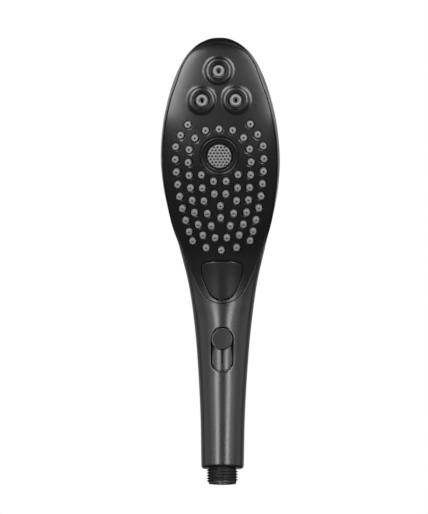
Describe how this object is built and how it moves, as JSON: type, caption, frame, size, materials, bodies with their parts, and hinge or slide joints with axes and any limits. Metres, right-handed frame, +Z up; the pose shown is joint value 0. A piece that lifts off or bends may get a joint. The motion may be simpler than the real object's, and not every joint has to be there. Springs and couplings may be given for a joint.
{
  "type": "handheld shower head",
  "caption": "Handheld shower head with a tear-drop spray face, a push selector at the neck, a flow slider on the handle and a threaded hose inlet.",
  "frame": {"origin": "centre of the inlet's flat end face, on the axis of the hose thread", "axes": "+Z up the straight handle along the thread axis, -Y out of the handle's front, the side the water leaves from, +X to the right of someone facing the spray face"},
  "size_m": [0.08, 0.1005, 0.2896],
  "materials": {
    "satin_black": "fine satin grain, soft wide highlights",
    "gloss_black": "smoother moulded black",
    "grey_silicone": "soft light grey silicone",
    "thread_black": "black glass-filled plastic",
    "inner_plastic": "dark grey inner mouldings",
    "white_plastic": "natural acetal inner parts",
    "dark_rubber": "black sealing rubber",
    "steel": "stainless steel"
  },
  "bodies": {
    "shell": {"back_shell": "satin_black", "face_plate": "satin_black", "nozzle_mat": "grey_silicone", "spray_chamber": "inner_plastic", "channel_plate": "inner_plastic", "chamber_screw_1": "steel", "chamber_screw_2": "steel", "chamber_screw_3": "steel", "chamber_screw_4": "steel", "centre_ring": "gloss_black", "centre_screen": "grey_silicone", "centre_core": "inner_plastic", "whirl_housing_1": "gloss_black", "whirl_housing_2": "gloss_black", "whirl_housing_3": "gloss_black", "button_spring": "steel", "selector_cover": "inner_plastic", "selector_seal": "dark_rubber", "selector_housing": "inner_plastic", "feed_duct": "inner_plastic", "neck_tube": "white_plastic", "slider_track": "satin_black", "valve_body": "white_plastic", "throttle_seat": "inner_plastic", "lower_tube": "white_plastic", "inlet_fitting": "thread_black", "inlet_seal": "dark_rubber", "inlet_filter": "steel", "flow_limiter": "white_plastic", "check_valve_housing": "inner_plastic", "check_valve_spring": "steel", "check_valve_guide": "white_plastic"},
    "button": {"select_button": "satin_black", "button_plunger": "white_plastic"},
    "selector": {"selector_rotor": "white_plastic"},
    "slider": {"slider_knob": "gloss_black", "flow_spool": "white_plastic", "spool_seal_1": "dark_rubber", "spool_seal_2": "dark_rubber"},
    "whirl_1": {"whirl_nozzle_1": "grey_silicone", "whirl_rotor_1": "white_plastic"},
    "whirl_2": {"whirl_nozzle_2": "grey_silicone", "whirl_rotor_2": "white_plastic"},
    "whirl_3": {"whirl_nozzle_3": "grey_silicone", "whirl_rotor_3": "white_plastic"},
    "check_poppet": {"check_valve_poppet": "white_plastic"}
  },
  "joints": [
    {"name": "select_press", "type": "slide", "parent": "shell", "child": "button", "axis": [0, 0.9507, 0.3102], "range_m": [0, 0.002], "stiffness_N_per_m": 400, "springref_m": -0.002, "deforming": ["button_spring"]},
    {"name": "selector_turn", "type": "hinge", "parent": "shell", "child": "selector", "pos_m": [0, -0.0196, 0.1363], "axis": [0, -0.9507, -0.3102], "continuous": true},
    {"name": "flow_slide", "type": "slide", "parent": "shell", "child": "slider", "axis": [0, 0, -1], "range_m": [0, 0.014]},
    {"name": "whirl_spin_1", "type": "hinge", "parent": "shell", "child": "whirl_1", "pos_m": [0, -0.08392, 0.26413], "axis": [0, -0.9778, -0.2096], "continuous": true},
    {"name": "whirl_spin_2", "type": "hinge", "parent": "shell", "child": "whirl_2", "pos_m": [-0.0112, -0.0797, 0.24525], "axis": [0, -0.9518, -0.3067], "continuous": true},
    {"name": "whirl_spin_3", "type": "hinge", "parent": "shell", "child": "whirl_3", "pos_m": [0.0112, -0.0797, 0.24525], "axis": [0, -0.9518, -0.3067], "continuous": true},
    {"name": "check_lift", "type": "slide", "parent": "shell", "child": "check_poppet", "axis": [0, 0, 1], "range_m": [0, 0.0025], "stiffness_N_per_m": 60, "springref_m": -0.003, "deforming": ["check_valve_spring"]}
  ]
}
